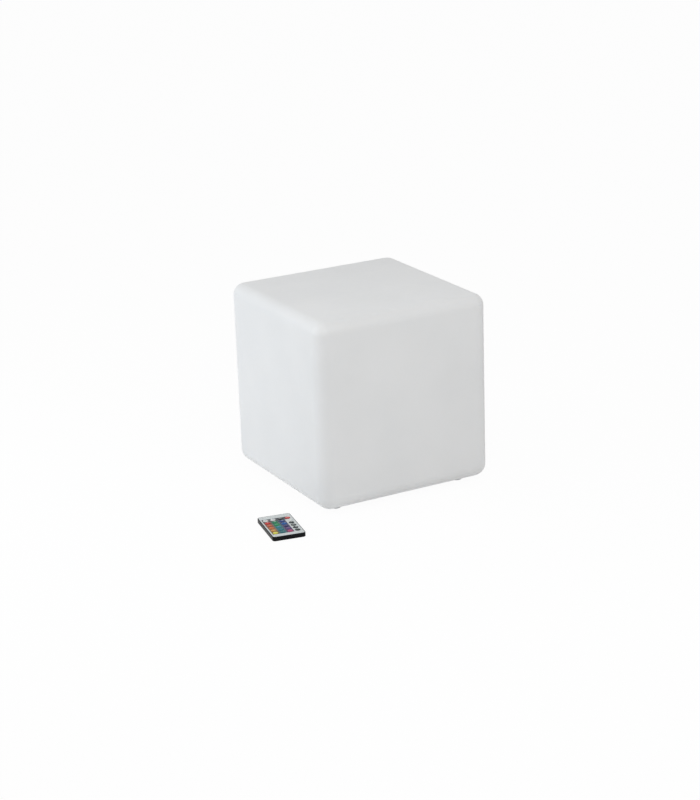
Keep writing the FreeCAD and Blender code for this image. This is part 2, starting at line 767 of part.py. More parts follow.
def remote_chip():
    """The chip with its legs and two small pieces beside it, under the board."""
    top = remote_board_level
    bottom = top - chip_size.z
    chip = box(-chip_size.x / 2, chip_y - chip_size.y / 2, bottom,
               chip_size.x / 2, chip_y + chip_size.y / 2, top)
    for i in range(-2, 3):
        x = i * chip_leg_pitch
        chip = chip.fuse(box(x - chip_leg.x / 2, chip_y - chip_size.y / 2 - chip_leg.y, top - chip_leg.z,
                             x + chip_leg.x / 2, chip_y + chip_size.y / 2 + chip_leg.y, top))
    small = [box(9, y, top - 0.8, 11, y + 1.2, top) for y in (chip_y + 7, chip_y + 11)]
    return Part.makeCompound([chip.removeSplitter()] + small)


def ir_emitter():
    along = V(0, 1, 0)
    back = V(0, emitter_back, emitter_level)
    rim = Part.makeCylinder(emitter_radius + emitter_rim, emitter_rim_length, back, along)
    barrel = Part.makeCylinder(emitter_radius, emitter_length, back, along)
    lens = Part.makeSphere(emitter_radius, back + along * emitter_length)
    legs = []
    low, far = back.z - leg_side / 2, back.y - leg_reach
    for x in (-leg_x - leg_side / 2, leg_x - leg_side / 2):
        legs.append(box(x, far, low, x + leg_side, back.y + spring_gap, low + leg_side))
        legs.append(box(x, far, low, x + leg_side, far + leg_side, remote_board_level))
    return fused([rim, barrel, lens] + legs)


def battery_tray():
    block = box(-tray_width / 2, near_end, tray_bottom, tray_width / 2, near_end + tray_length, tray_top)
    pocket = rod(0, coin_y, coin_bottom, tray_top + join, coin_radius + seat_gap)
    window = rod(0, coin_y, tray_bottom - join, tray_top + join, coin_radius - tray_ledge_reach)
    grips = []
    for i in range(grip_count):
        x = (i - (grip_count - 1) / 2) * grip_pitch
        grips.append(box(x - grip_width / 2, near_end - join, tray_bottom - join,
                         x + grip_width / 2, near_end + grip_depth, tray_top + join))
    return cut_all(block, [pocket, window] + grips)


def coin_cell():
    can = rod(0, coin_y, coin_bottom, coin_top, coin_radius)
    return can.makeFillet(0.3, outline_edges(can, coin_bottom))


def cell_contacts():
    bottom = coin_top + spring_gap
    y0, y1 = coin_y + contact_reach.x, coin_y + contact_reach.y
    solids = []
    for x in (-contact_x - contact_width / 2, contact_x - contact_width / 2):
        strip = box(x, y0, bottom, x + contact_width, y1, bottom + contact_thickness)
        root = box(x, y1 - 1.0, bottom, x + contact_width, y1, remote_board_level)
        solids.append(strip.fuse(root).removeSplitter())
    return Part.makeCompound(solids)


remote = {"remote_case_bottom": remote_case_bottom(), "remote_case_top": remote_case_top(),
          "remote_faceplate": remote_faceplate(), "keypad_web": keypad_web(),
          "remote_board": remote_board(), "remote_chip": remote_chip(), "ir_emitter": ir_emitter(),
          "battery_tray": battery_tray(), "coin_cell": coin_cell(), "cell_contacts": cell_contacts()}
for (row, column), (x, y) in key_places.items():
    remote["key_r%d_c%d" % (row, column)] = key(x, y)

remote_place = FreeCAD.Placement(V(remote_x, remote_y, 0), FreeCAD.Rotation(UP, remote_turn))
for name, shape in remote.items():
    parts[name] = shape.transformed(remote_place.toMatrix())


# ------------------------------------------------------------------ export
os.makedirs("parts", exist_ok=True)
for name, shape in parts.items():
    assert shape.isValid(), name
    shape.exportStep("parts/%s.step" % name)
print(len(parts), "nodes written")
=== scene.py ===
# %% [markdown]
# # A cube light and its handset
# The object is a hollow cube of milky white plastic with rounded edges, made by turning a heated mould
# with powder in it. It stands on four low feet, a light module closes its underside, and a flat handset
# with coloured keys lies beside it on the floor. A CAD model gives every piece its place and its size.
# This lesson loads that model, puts the fine shapes and the finishes on it, and lights it as a plain
# studio would.

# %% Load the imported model
import math

import bmesh
import bpy
from mathutils import Matrix, Vector


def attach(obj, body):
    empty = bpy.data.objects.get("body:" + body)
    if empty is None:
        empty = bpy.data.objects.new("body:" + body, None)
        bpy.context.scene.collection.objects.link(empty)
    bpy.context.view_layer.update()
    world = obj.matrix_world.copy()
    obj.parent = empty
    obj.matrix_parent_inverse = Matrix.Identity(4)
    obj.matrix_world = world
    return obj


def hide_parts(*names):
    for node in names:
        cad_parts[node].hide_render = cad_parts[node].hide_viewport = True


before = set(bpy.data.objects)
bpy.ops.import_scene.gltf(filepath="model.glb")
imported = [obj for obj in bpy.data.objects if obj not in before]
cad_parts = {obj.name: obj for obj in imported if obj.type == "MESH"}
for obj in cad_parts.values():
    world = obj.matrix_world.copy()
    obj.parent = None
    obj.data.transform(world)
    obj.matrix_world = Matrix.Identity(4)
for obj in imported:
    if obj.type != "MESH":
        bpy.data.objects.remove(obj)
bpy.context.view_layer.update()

mm = 0.001

# %% [markdown]
# ## The camera
# The picture was taken with a long lens from the front and a little to the left, looking down at about
# nineteen degrees, and tilted by two. The numbers come from fitting the cube's outline. A camera can be
# placed with rotations in degrees, but a matrix made of its three axes leaves no doubt about their order.
# The Standard view shows colours as they are written, and a product picture wants that.

# %% Camera
camera_place = Vector((-1.51006, -2.76940, 1.19501))
camera_target = Vector((-0.02460, -0.01227, 0.13063))
camera_roll = math.radians(-1.991)

forward = (camera_target - camera_place).normalized()
level_right = forward.cross(Vector((0, 0, 1))).normalized()
level_up = level_right.cross(forward)
right = math.cos(camera_roll) * level_right + math.sin(camera_roll) * level_up
up = math.cos(camera_roll) * level_up - math.sin(camera_roll) * level_right

lens = bpy.data.cameras.new("camera")
lens.lens, lens.sensor_width, lens.clip_end = 93.74, 36.0, 60.0
camera = bpy.data.objects.new("camera", lens)
bpy.context.scene.collection.objects.link(camera)
camera.matrix_world = Matrix.Translation(camera_place) @ Matrix((right, up, -forward)).transposed().to_4x4()
bpy.context.scene.camera = camera
bpy.context.scene.view_settings.view_transform = "Standard"
print("camera stands %.2f m away" % (camera_target - camera_place).length)

# %% [markdown]
# ## Writing a material as a sum
# A material is a small machine of nodes, and wiring it by hand hides what it does. The class below wraps
# one socket, so that `1 - mask * 0.5` adds the Math nodes by itself. Everything else, such as a noise or
# a colour ramp, comes from its method `node`, which sets the node up first and then its sockets.

# %% A strand of a material
class Strand:
    """A value, colour or vector on its way through a material."""

    def __init__(self, socket):
        self.socket = socket

    def node(self, kind, settings=None, sockets=None, out=0):
        """Adds a node of this kind to the same material, and gives the strand that leaves it."""
        tree = self.socket.id_data
        made = tree.nodes.new("ShaderNode" + kind)
        for name, value in (settings or {}).items():
            if name == "stops":
                fill_ramp(made.color_ramp, value)
            else:
                setattr(made, name, value)
        for name, value in (sockets or {}).items():
            if isinstance(value, Strand):
                tree.links.new(value.socket, made.inputs[name])
            else:
                made.inputs[name].default_value = value
        return Strand(made.outputs[out])

    def maths(self, operation, first, second):
        return self.node("Math", {"operation": operation}, {0: first, 1: second})

    def __add__(self, other):
        return self.maths("ADD", self, other)

    def __sub__(self, other):
        return self.maths("SUBTRACT", self, other)

    def __rsub__(self, other):
        return self.maths("SUBTRACT", other, self)

    def __mul__(self, other):
        return self.maths("MULTIPLY", self, other)

    def __gt__(self, other):
        return self.maths("GREATER_THAN", self, other)

    def __lt__(self, other):
        return self.maths("LESS_THAN", self, other)

    def __abs__(self):
        return self.maths("ABSOLUTE", self, 0.0)

    __radd__, __rmul__ = __add__, __mul__


def fill_ramp(ramp, stops):
    """Puts (place, colour) stops on a colour ramp; the first word says how it goes between them."""
    ramp.interpolation = stops[0]
    for i, (place, colour) in enumerate(stops[1:]):
        stop = ramp.elements[i] if i < 2 else ramp.elements.new(place)
        stop.position, stop.color = place, (*colour, 1)


print("a strand understands + - * < > and abs")

# %% [markdown]
# ## A few words for all finishes
# Nearly every finish here is one shader with three things that change over it: the colour drifts a
# little, the dull and the shiny parts differ, and the surface has a grain from the mould or the tool.
# These helpers give those their names. A mask is a strand that goes from 0 to 1.

# %% Helpers for finishes
def rgba(colour):
    return colour if isinstance(colour, Strand) else (*colour, 1)


def new_finish(name, **constants):
    """A new material. Gives it, its shader, and the strand that holds the place on the piece."""
    material = bpy.data.materials.new(name)
    material.use_nodes = True
    shader = material.node_tree.nodes["Principled BSDF"]
    for word, value in constants.items():
        shader.inputs[word.replace("_", " ")].default_value = value
    coordinates = material.node_tree.nodes.new("ShaderNodeTexCoord")
    return material, shader, Strand(coordinates.outputs["Object"])


def feed(shader, **strands):
    for word, strand in strands.items():
        shader.id_data.links.new(strand.socket, shader.inputs[word.replace("_", " ")])


def noise(place, size, detail=2.0, roughness=0.5):
    """Soft random patches, size metres across."""
    return place.node("TexNoise", {}, {"Vector": place, "Scale": 1 / size, "Detail": detail,
                                       "Roughness": roughness}, "Fac")


def spread(strand, low, high, new_low=0.0, new_high=1.0):
    """Stretches the part from low to high over new_low to new_high, and holds it there outside."""
    return strand.node("MapRange", {"interpolation_type": "SMOOTHSTEP"},
                       {"Value": strand, "From Min": low, "From Max": high,
                        "To Min": new_low, "To Max": new_high})


def sway(strand, low, high):
    """Lets a value wander from low to high with a noise, whose own values mostly lie from 0.3 to 0.7."""
    return spread(strand, 0.3, 0.7, low, high)


def tint(mask, off, on):
    """Colour off where the mask is 0, and on where it is 1."""
    return mask.node("Mix", {"data_type": "RGBA"}, {0: mask, 6: rgba(off), 7: rgba(on)}, 2)


def relief(height, depth, under=None):
    """Turns a height from 0 to 1 into bumps that are depth metres deep."""
    sockets = {"Height": height, "Distance": depth, "Strength": 1.0}
    if under:
        sockets["Normal"] = under
    return height.node("Bump", {}, sockets, "Normal")


def apart(place):
    """The place as its three numbers x, y and z."""
    split = place.node("SeparateXYZ", {}, {"Vector": place}).socket.node
    return [Strand(split.outputs[i]) for i in range(3)]


print("helpers ready")

# %% [markdown]
# ## Which node gets which finish
# The record that comes with the model says which slot each node takes its finish from. A node's shape
# is right as it is, so its mesh stays, and only the material in its slot is changed.

# %% Dress nodes
def dress(material, *nodes):
    """Gives CAD nodes this material in place of the plain one they came with."""
    for name in nodes:
        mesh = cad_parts[name].data
        for i in range(len(mesh.materials)):
            mesh.materials[i] = material
    dressed.update(nodes)
    print(material.name, "on", len(nodes), "nodes")


dressed = set()
print("dressing table ready")

# %% [markdown]
# ## The milky shell
# The cube's skin is polyethylene, about three and a half millimetres thick. Light goes a short way into
# it and comes back, so its edges look soft, and that is what subsurface scattering does. A turned mould
# leaves no sharp gloss, only a satin face with a very faint orange peel, and the wall's thickness drifts,
# which shows as slow clouds of tone. All of it is so weak that it is seen in the highlights only.

# %% Shell finish
cloud_size, speck_size, peel_size = 110 * mm, 2.2 * mm, 6.5 * mm
speck_depth, peel_depth = 0.02 * mm, 0.09 * mm


def shell_finish():
    material, shader, place = new_finish(
        "milky_polyethylene", IOR=1.5, Subsurface_Weight=0.25, Subsurface_Scale=0.004,
        Subsurface_Radius=(1.0, 0.95, 0.88), Specular_IOR_Level=0.42)
    clouds = noise(place, cloud_size, 3.0)
    specks = noise(place, speck_size)
    peel = noise(place, peel_size)
    feed(shader,
         Base_Color=tint(sway(clouds, 0, 1), (0.775, 0.780, 0.780), (0.800, 0.803, 0.802)),
         Roughness=sway(peel, 0.40, 0.50),
         Normal=relief(specks, speck_depth, relief(peel, peel_depth)))
    return material


dress(shell_finish(), "cube_shell")

# %% [markdown]
# ## Moulded plastic and rubber
# Feet, module, seals and the small black parts are all moulded. They differ in colour, gloss and the
# grain that the mould's steel was given, so one function makes them all. Two noises are mixed: the
# grain, and a slow drift that keeps large faces from looking flat.

# %% Moulded finishes
def moulded(name, colour, dullness, grain, depth, drift=0.06):
    """Moulded plastic or rubber, with a grain of this size and depth in millimetres."""
    material, shader, place = new_finish(name)
    drift_size = grain * 40
    slow = spread(noise(place, drift_size * mm, 3.0), 0.25, 0.75)
    fine = noise(place, grain * mm, 2.0, 0.6)
    darker = tuple(c * (1 - drift) for c in colour)
    lighter = tuple(min(c * (1 + drift), 1.0) for c in colour)
    feed(shader,
         Base_Color=tint(slow, darker, lighter),
         Roughness=sway(fine, dullness - 0.06, dullness + 0.06),
         Normal=relief(fine, depth * mm))
    return material


foot_rubber = moulded("foot_rubber", (0.70, 0.71, 0.71), 0.55, 0.7, 0.04)
module_plastic = moulded("module_plastic", (0.72, 0.73, 0.73), 0.42, 0.6, 0.04, 0.03)
seal_rubber = moulded("seal_rubber", (0.050, 0.050, 0.053), 0.62, 0.8, 0.05, 0.15)
soft_grey = moulded("soft_grey_rubber", (0.16, 0.165, 0.17), 0.48, 0.6, 0.03, 0.08)
holder_plastic = moulded("holder_plastic", (0.018, 0.018, 0.020), 0.42, 0.7, 0.04, 0.2)
mat_silicone = moulded("mat_silicone", (0.12, 0.125, 0.13), 0.6, 0.5, 0.02, 0.1)
dress(foot_rubber, "foot_front_left", "foot_front_right", "foot_back_left", "foot_back_right")
dress(module_plastic, "module_base", "module_lid")
dress(seal_rubber, "shell_gasket", "lid_seal", "port_cover", "port_cover_anchor")
dress(soft_grey, "power_button")
dress(holder_plastic, "battery_holder", "charge_socket", "button_switch")
dress(mat_silicone, "keypad_web")

# %% [markdown]
# ## Metal
# Screws are zinc plated, inserts are turned brass, and the flat cell is stamped steel. Metal shows its
# making as fine lines, which are a noise that is squeezed in one direction. Turned parts have their
# lines round the axis, so the noise for them hangs almost on the height alone.

# %% Metal finishes
line_pitch, line_depth, stain_size, stained = 0.4 * mm, 0.01 * mm, 4 * mm, 0.85


def metal(name, colour, dullness, squeeze):
    """Metal with fine tool lines; a small squeeze along x, y or z draws them out that way."""
    material, shader, place = new_finish(name, Metallic=1.0)
    along = place.node("Mapping", {}, {"Vector": place, "Scale": squeeze})
    lines = noise(along, line_pitch, 3.0, 0.7)
    dull = spread(noise(place, stain_size, 3.0), 0.35, 0.75)
    feed(shader,
         Base_Color=tint(dull, colour, tuple(c * stained for c in colour)),
         Roughness=sway(lines, dullness - 0.05, dullness + 0.08) + dull * 0.08,
         Normal=relief(lines, line_depth))
    return material


dress(metal("zinc_plate", (0.62, 0.63, 0.66), 0.26, (1, 1, 0.2)), "base_screws", "lid_screws")
dress(metal("turned_brass", (0.78, 0.56, 0.25), 0.24, (0.05, 0.05, 1)), "shell_inserts")
dress(metal("stamped_steel", (0.66, 0.66, 0.67), 0.22, (1, 0.1, 1)), "coin_cell")
dress(metal("spring_contact", (0.74, 0.70, 0.60), 0.20, (0.1, 1, 1)), "cell_contacts")

# %% [markdown]
# ## The circuit boards
# Nobody sees these until the cube is opened, yet they tell a repairer what is what. The control board is
# green, and so is the handset's. Their tracks could be drawn one by one, but the edges between the cells
# of a Voronoi pattern branch and turn much as tracks do, and cost one node.

# %% Green boards
def far_from_middle(place, at=(0.0, 0.0)):
    """The distance from an upright axis through the point at."""
    x, y, _ = apart(place)
    flat = place.node("CombineXYZ", {}, {0: x - at[0], 1: y - at[1]})
    return flat.node("VectorMath", {"operation": "LENGTH"}, {0: flat}, "Value")


def board_finish(name, mask_colour, track_colour, pitch):
    material, shader, place = new_finish(name, Coat_Weight=0.3, Coat_Roughness=0.15)
    cells = place.node("TexVoronoi", {"feature": "DISTANCE_TO_EDGE", "distance": "EUCLIDEAN"},
                       {"Vector": place, "Scale": 1 / pitch, "Randomness": 0.35}, "Distance")
    tracks = 1 - spread(cells, 0.05, 0.09)
    dust = spread(noise(place, 3 * mm, 4.0), 0.4, 0.8)
    feed(shader,
         Base_Color=tint(dust * 0.15, tint(tracks, mask_colour, track_colour), (0.5, 0.5, 0.48)),
         Roughness=spread(dust, 0.0, 1.0, 0.30, 0.45),
         Normal=relief(tracks, 0.03 * mm))
    return material


green_board = board_finish("green_board", (0.012, 0.12, 0.045), (0.03, 0.24, 0.09), 2.8 * mm)
dress(green_board, "control_board", "remote_board")

# %% [markdown]
# ## The light board
# Its copper runs in two rings, one under each circle of lamps, and shows through the white mask as a
# dull line. A ring is where the distance from the board's middle is nearly the ring's radius.

# %% Light board
lamp_rings, track_half = (33 * mm, 16 * mm), 0.6 * mm


def lamp_board_finish():
    material, shader, place = new_finish("white_lamp_board", Coat_Weight=0.2, Coat_Roughness=0.2)
    radius = far_from_middle(place)
    outer, inner = [abs(radius - ring) < track_half for ring in lamp_rings]
    rings = outer + inner
    speckle = noise(place, 0.6 * mm)
    feed(shader,
         Base_Color=tint(rings * 0.6, (0.80, 0.81, 0.79), (0.62, 0.60, 0.50)),
         Roughness=sway(speckle, 0.34, 0.46),
         Normal=relief(rings, 0.03 * mm, relief(speckle, 0.01 * mm)))
    return material


dress(lamp_board_finish(), "led_board")

# %% [markdown]
# ## Lamps
# A lamp is a white plastic body with a round window of clear gel over its chips. The window could be a
# piece of its own, but it lies a little lower than the body's top and looks upwards, so a mask made of
# the height and of the surface's direction finds it on the one mesh.

# %% Lamps
def upwards(place):
    """1 where the surface looks up."""
    geometry = place.node("NewGeometry", out="Normal")
    return apart(geometry)[2] > 0.5


lamp_top = 46.5 * mm
window_high, window_low = lamp_top - 0.2 * mm, lamp_top - 0.7 * mm


def lamp_finish():
    material, shader, place = new_finish("lamp_body", Coat_Weight=0.4, Coat_Roughness=0.08)
    height = apart(place)[2]
    window = (height < window_high) * (height > window_low) * upwards(place)
    gel = noise(place, 0.9 * mm, 3.0)
    feed(shader,
         Base_Color=tint(window, (0.78, 0.77, 0.72),
                         tint(gel, (0.86, 0.62, 0.10), (0.90, 0.76, 0.26))),
         Roughness=window * -0.30 + 0.42,
         Normal=relief(gel, 0.03 * mm))
    return material


dress(lamp_finish(), "led_chips")

# %% [markdown]
# ## Cells
# A round cell is a steel can in a shrunken blue sleeve. The sleeve stops short of both ends, where bare
# metal shows, so the distance along the cell divides the two. A shrunken sleeve keeps faint creases.

# %% Cell wrap
wrap_end = 31.4 * mm


def cell_finish():
    material, shader, place = new_finish("cell_wrap")
    x = apart(place)[0]
    bare = abs(x) > wrap_end
    crease = noise(place, 4 * mm, 3.0)
    feed(shader,
         Base_Color=tint(bare, tint(crease, (0.018, 0.10, 0.30), (0.03, 0.14, 0.38)),
                         (0.66, 0.65, 0.62)),
         Metallic=bare,
         Roughness=bare * 0.12 + sway(crease, 0.18, 0.26),
         Normal=relief(crease, 0.12 * mm))
    return material


dress(cell_finish(), "battery_cells")

# %% [markdown]
# ## Parts on the control board
# Most parts are black epoxy with a dull grain. Two round cans have a bare aluminium top, and the plug for
# the light board's lead is cream nylon. All of them share one node, so their places tell them apart: a
# mask is the distance from a part's middle, together with a height.

# %% Board parts
left_can, right_can, can_reach, can_top_level = (-0.016, -0.036), (-0.008, -0.036), 3.2 * mm, 30.5 * mm
plug_middle, plug_reach, plug_top = (0.0, -0.012), 5.6 * mm, 26.3 * mm


def component_finish():
    material, shader, place = new_finish("board_parts")
    height = apart(place)[2]
    cans = (far_from_middle(place, left_can) < can_reach) + (far_from_middle(place, right_can) < can_reach)
    can_top = cans * (height > can_top_level)
    plug = (far_from_middle(place, plug_middle) < plug_reach) * (height < plug_top)
    grain = noise(place, 0.4 * mm)
    body = tint(cans, (0.020, 0.020, 0.022), (0.014, 0.020, 0.045))
    feed(shader,
         Base_Color=tint(can_top, tint(plug, body, (0.66, 0.64, 0.56)), (0.72, 0.72, 0.73)),
         Metallic=can_top,
         Roughness=sway(grain, 0.34, 0.5),
         Normal=relief(grain, 0.02 * mm))
    return material


dress(component_finish(), "board_components")
dress(moulded("black_epoxy", (0.016, 0.015, 0.018), 0.30, 0.4, 0.01, 0.2),
      "ir_receiver", "remote_chip")

# %% [markdown]
# ## Leads
# The battery's two leads are red and black, and the bundle up to the light board has one lead for each
# colour and a common one. A ramp with hard steps colours the bundle across its width, and further out
# the side says which battery lead it is.

# %% Leads
bundle_half, supply_side = 3.8 * mm, 10 * mm
lead_colours = ["CONSTANT", (0.0, (0.45, 0.02, 0.02)), (0.25, (0.02, 0.25, 0.06)),
                (0.5, (0.02, 0.07, 0.42)), (0.75, (0.02, 0.02, 0.022))]


def lead_finish():
    material, shader, place = new_finish("lead_insulation")
    x = apart(place)[0]
    bundle = x.node("ValToRGB", {"stops": lead_colours}, {"Fac": spread(x, -bundle_half, bundle_half)})
    supply = tint(x > 0.0, (0.02, 0.02, 0.022), (0.48, 0.02, 0.02))
    scuff = noise(place, 2 * mm, 3.0)
    feed(shader,
         Base_Color=tint(abs(x) > supply_side, bundle, supply),
         Roughness=sway(scuff, 0.28, 0.42),
         Normal=relief(scuff, 0.03 * mm))
    return material


dress(lead_finish(), "wiring")

# %% [markdown]
# ## Clear plastic
# The dome over the lamps is frosted, and the handset's infrared lamp is clear epoxy with a faint violet
# tint. Both let light through. Frosting is roughness on a transmitting shader, with a fine grain so that
# it looks blasted and not waxed.

# %% Clear finishes
def clear_plastic(name, colour, dullness, through, grain, depth):
    """Plastic that lets this share of the light through, with a grain in millimetres."""
    material, shader, place = new_finish(name, IOR=1.49, Transmission_Weight=through)
    fine = noise(place, grain * mm)
    feed(shader,
         Base_Color=tint(fine, colour, tuple(c * 0.96 for c in colour)),
         Roughness=sway(fine, dullness * 0.8, dullness * 1.2),
         Normal=relief(fine, depth * mm))
    return material


dress(clear_plastic("frosted_dome", (0.93, 0.95, 0.95), 0.5, 0.75, 0.5, 0.04), "diffuser_dome")
dress(clear_plastic("tinted_epoxy", (0.50, 0.46, 0.68), 0.06, 0.8, 3, 0.01), "ir_emitter")

# %% [markdown]
# ## The handset's own directions
# The handset lies on the floor turned by ten degrees. Its print and its keys are easier to draw in its
# own directions: u across it and v along it towards the infrared lamp, in millimetres from its middle.
# For meshes one small function turns such a point into the frame, and for materials a Vector Rotate
# node goes the other way.

# %% Handset directions
handset_middle = Vector((-0.222, -0.146, 0.0))
handset_turn = math.radians(-10)
case_half_u, case_half_v = 26.0, 42.5
key_u = [-17.4, -5.8, 5.8, 17.4]
key_v = [24.3, 14.0, 3.7, -6.6, -16.9, -27.2]


def on_handset(u, v):
    """A point under the handset, from millimetres in its own directions to metres in the frame."""
    return handset_middle + Matrix.Rotation(handset_turn, 3, "Z") @ Vector((u, v, 0)) * mm


def handset_place(place):
    """The strands u, v and height, in millimetres."""
    turned = place.node("VectorRotate", {"rotation_type": "Z_AXIS"},
                        {"Vector": place, "Center": handset_middle, "Angle": -handset_turn})
    x, y, z = apart(turned)
    return [distance * (1 / mm) for distance in (x - handset_middle.x, y - handset_middle.y, z)]


print("handset's far end is at", on_handset(0, case_half_v))

# %% [markdown]
# ## The case
# Both halves of the case are semi gloss black. A fine gap runs round where they meet, and the mould's
# grain is finer than on the cube's parts. Hands have polished the edges, so roughness falls a little
# there. The gap is drawn as a groove in the bumps, because it is only a quarter of a millimetre high.

# %% Case finish
polished, gap_level, gap_half, gap_edge = 0.8, 3.8, 0.06, 0.12


def case_finish():
    material, shader, place = new_finish("case_black", Specular_IOR_Level=0.08)
    u, v, height = handset_place(place)
    grain = noise(place, 0.35 * mm, 2.0, 0.6)
    smears = spread(noise(place, 12 * mm, 3.0), 0.35, 0.75)
    edge = spread(abs(u), case_half_u - polished, case_half_u) \
        + spread(abs(v), case_half_v - polished, case_half_v)
    groove = spread(abs(height - gap_level), gap_half, gap_edge)
    feed(shader,
         Base_Color=tint(smears, (0.006, 0.006, 0.007), (0.010, 0.010, 0.011)),
         Roughness=sway(grain, 0.30, 0.40) + smears * 0.08 - edge * 0.05,
         Normal=relief(groove, 0.05 * mm, relief(grain, 0.012 * mm)))
    return material


dress(case_finish(), "remote_case_bottom", "remote_case_top", "battery_tray")

# %% [markdown]
# ## The printed plate
# A thin plastic sheet is stuck round the keys. It is silvery grey, and a dark panel is printed on it
# behind three of the four columns: a slate band behind the first row, then a strip for each column
# whose colour runs along with the keys' colours. Ink lies a little higher and glossier than the bare
# sheet. The silver has the faint sparkle of flake in the ink.

# %% Plate finish
print_left, strips_right, band_right = -22.8, 11.2, 18.5
print_bottom, strip_end, band_bottom, band_top = -32.2, -32.0, 19.2, 29.6
first_join, second_join = (-12.0, -11.2), (-0.4, 0.4)
warm_colours = [(0.150, 0.028, 0.020), (0.210, 0.060, 0.022), (0.240, 0.110, 0.030), (0.110, 0.085, 0.020)]
green_colours = [(0.020, 0.075, 0.050), (0.012, 0.120, 0.085), (0.010, 0.120, 0.150), (0.010, 0.090, 0.105)]
dusk_colours = [(0.030, 0.040, 0.100), (0.025, 0.040, 0.130), (0.060, 0.035, 0.105), (0.110, 0.030, 0.085)]


def strip(v, colours):
    """A colour that runs from the second row down to the last one."""
    stops = ["EASE"] + [(i / (len(colours) - 1), c) for i, c in enumerate(colours)]
    way_down = v.node("MapRange", {}, {"Value": v, "From Min": band_bottom, "From Max": strip_end})
    return v.node("ValToRGB", {"stops": stops}, {"Fac": way_down})


def between(strand, low, high, soft=0.08):
    """1 from low to high, with soft ends."""
    return spread(strand, low - soft, low + soft) * (1 - spread(strand, high - soft, high + soft))


def plate_finish():
    material, shader, place = new_finish("printed_plate", Coat_Roughness=0.12, Specular_IOR_Level=0.25)
    u, v, _ = handset_place(place)
    left_strips = tint(spread(u, *first_join), strip(v, warm_colours), strip(v, green_colours))
    strips = tint(spread(u, *second_join), left_strips, strip(v, dusk_colours))
    below = between(v, print_bottom, band_bottom) * between(u, print_left, strips_right)
    band = between(v, band_bottom, band_top) * between(u, print_left, band_right)
    sparkle = noise(place, 0.22 * mm, 2.0, 0.7)
    silver = tint(spread(sparkle, 0.3, 0.75), (0.570, 0.600, 0.595), (0.680, 0.705, 0.700))
    ink = below + band
    feed(shader,
         Base_Color=tint(band, tint(below, silver, strips), (0.035, 0.042, 0.050)),
         Metallic=(1 - ink) * 0.25,
         Coat_Weight=ink * 0.10,
         Roughness=ink * -0.10 + sway(sparkle, 0.36, 0.46),
         Normal=relief(ink, 0.01 * mm, relief(sparkle, 0.006 * mm)))
    return material


dress(plate_finish(), "remote_faceplate")

# %% [markdown]
# ## The keys
# Each key is a low dome of soft plastic that stands a millimetre out of the plate. Its cross-section is
# drawn once, and turning it round an axis gives the key, as a lathe would. The dome follows the CAD
# sphere, so nothing moves; the rim and the smooth steps are what the plain solid lacks.

# %% Turned shapes
def as_piece(name, mesh):
    """Makes a smooth shaded object of a bmesh, and frees the bmesh."""
    data = bpy.data.meshes.new(name)
    mesh.to_mesh(data)
    mesh.free()
    data.shade_smooth()
    piece = bpy.data.objects.new(name, data)
    bpy.context.scene.collection.objects.link(piece)
    return piece


def lathe(name, section, steps=48):
    """Turns a section of (radius, height) points, in millimetres, round the upright axis."""
    mesh = bmesh.new()
    rings = []
    for radius, height in section:
        if radius < 1e-6:
            rings.append([mesh.verts.new((0, 0, height * mm))])
            continue
        rings.append([mesh.verts.new((radius * mm * math.cos(a), radius * mm * math.sin(a), height * mm))
                      for a in (2 * math.pi * i / steps for i in range(steps))])
    for low, high in zip(rings, rings[1:]):
        for i in range(steps):
            j = (i + 1) % steps
            corners = [low[i % len(low)], low[j % len(low)], high[j % len(high)], high[i % len(high)]]
            mesh.faces.new(list(dict.fromkeys(corners)))
    return as_piece(name, mesh)


print("the lathe is ready")

# %% [markdown]
# ## A key's section
# The section starts under the key's middle, goes out along the flange's foot, up the side, round the rim
# and over the dome back to the middle. It stays a few thousandths of a millimetre inside the CAD key.

# %% Key section
def corner_arc(radius, height, size, start, end, steps=4):
    """Points of a small round on a section, about the point (radius, height), from start to end degrees."""
    return [(radius + size * math.cos(math.radians(start + (end - start) * i / steps)),
             height + size * math.sin(math.radians(start + (end - start) * i / steps)))
            for i in range(steps + 1)]


key_radius, key_top, key_rim, key_foot = 4.2, 8.1, 7.3, 5.35
flange_radius, flange_top, side_foot, side_head = 4.68, 5.84, 5.95, 6.6
rim_round, rim_level, skin = 0.25, 6.98, 0.004
dome_ball = (key_radius ** 2 + (key_top - key_rim) ** 2) / (2 * (key_top - key_rim))


def dome_height(radius):
    return key_top - dome_ball + math.sqrt(dome_ball ** 2 - radius ** 2)


key_side = key_radius - 0.02
key_section = [(0, key_foot), (flange_radius - 0.08, key_foot), (flange_radius, key_foot + 0.06),
               (flange_radius, flange_top - 0.10), (flange_radius - 0.06, flange_top - 0.02),
               (key_side + 0.07, flange_top), (key_side, side_foot), (key_side, side_head)]
key_section += corner_arc(key_side - rim_round, rim_level, rim_round, 0, 68)
key_section += [(radius, dome_height(radius) - skin) for radius in (3.6, 3.1, 2.6, 2.1, 1.6, 1.1, 0.6, 0)]
print("a key has", len(key_section), "points in its section")

# %% [markdown]
# ## Colours of the keys
# The soft plastic is coloured right through and slightly see-through, so its edges glow a little. A darker
# ring at the foot of each dome is painted shade, partly also dust and finger grease. All keys have one
# finish, and only its colour differs.

# %% Key finish
# Where the painted shade at the foot of a dome starts, in millimetres from the key's middle.
shade_ring_start = 3.4


